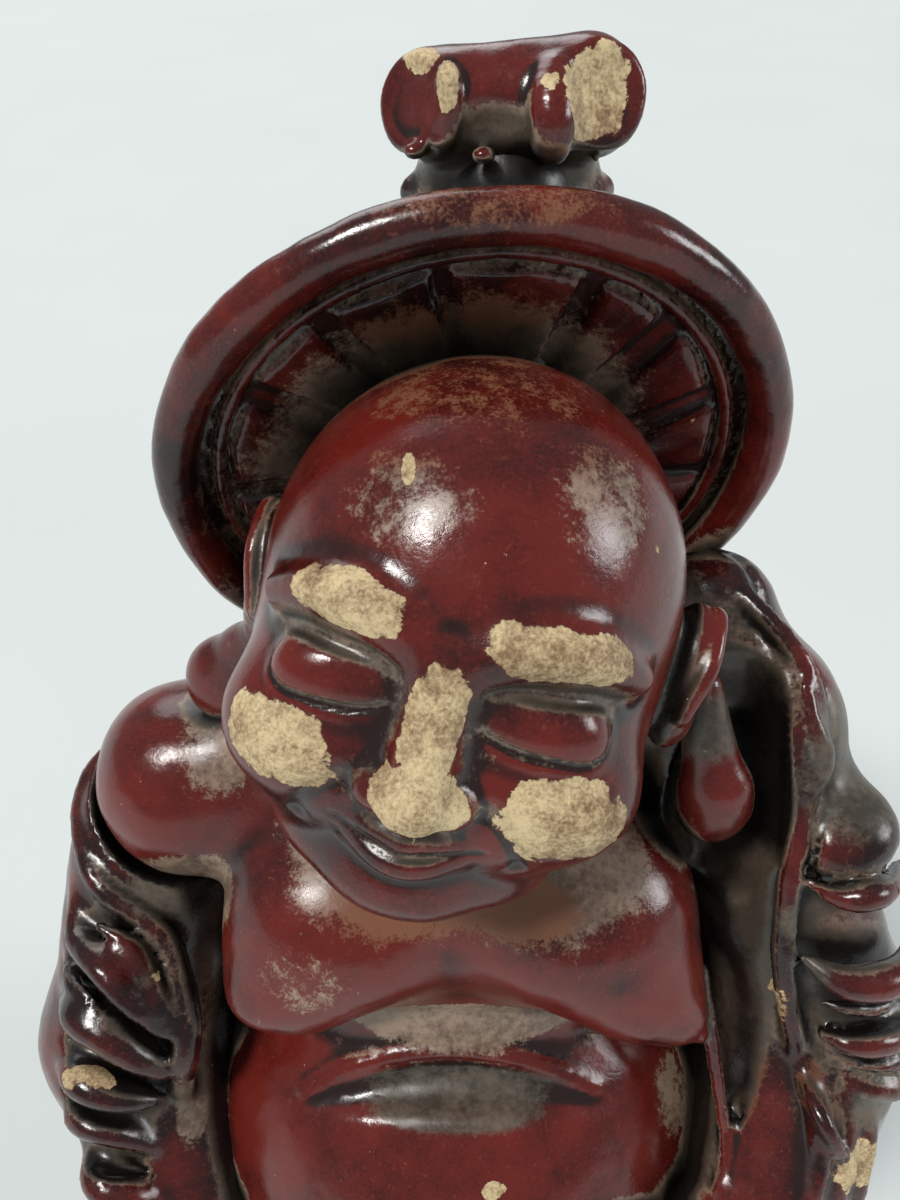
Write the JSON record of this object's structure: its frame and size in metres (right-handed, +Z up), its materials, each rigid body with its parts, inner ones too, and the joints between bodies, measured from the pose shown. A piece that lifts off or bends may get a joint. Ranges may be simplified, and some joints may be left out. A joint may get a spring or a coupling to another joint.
{
  "type": "laughing buddha figurine",
  "caption": "Small cast resin figure of a stout laughing buddha with a bare belly, slipped robe, brimmed travelling hat behind the head and knotted sack, standing on a low oval plinth.",
  "frame": {"origin": "middle of the plinth's flat underside", "axes": "+Z up, the figure faces -Y, +X is the figure's own left side"},
  "size_m": [0.048, 0.036, 0.0795],
  "materials": {
    "resin": "glossy dark red resin, darkened in its hollows and worn to tan on its high spots"
  },
  "bodies": {
    "root": {"laughing_buddha": "resin"}
  },
  "joints": []
}
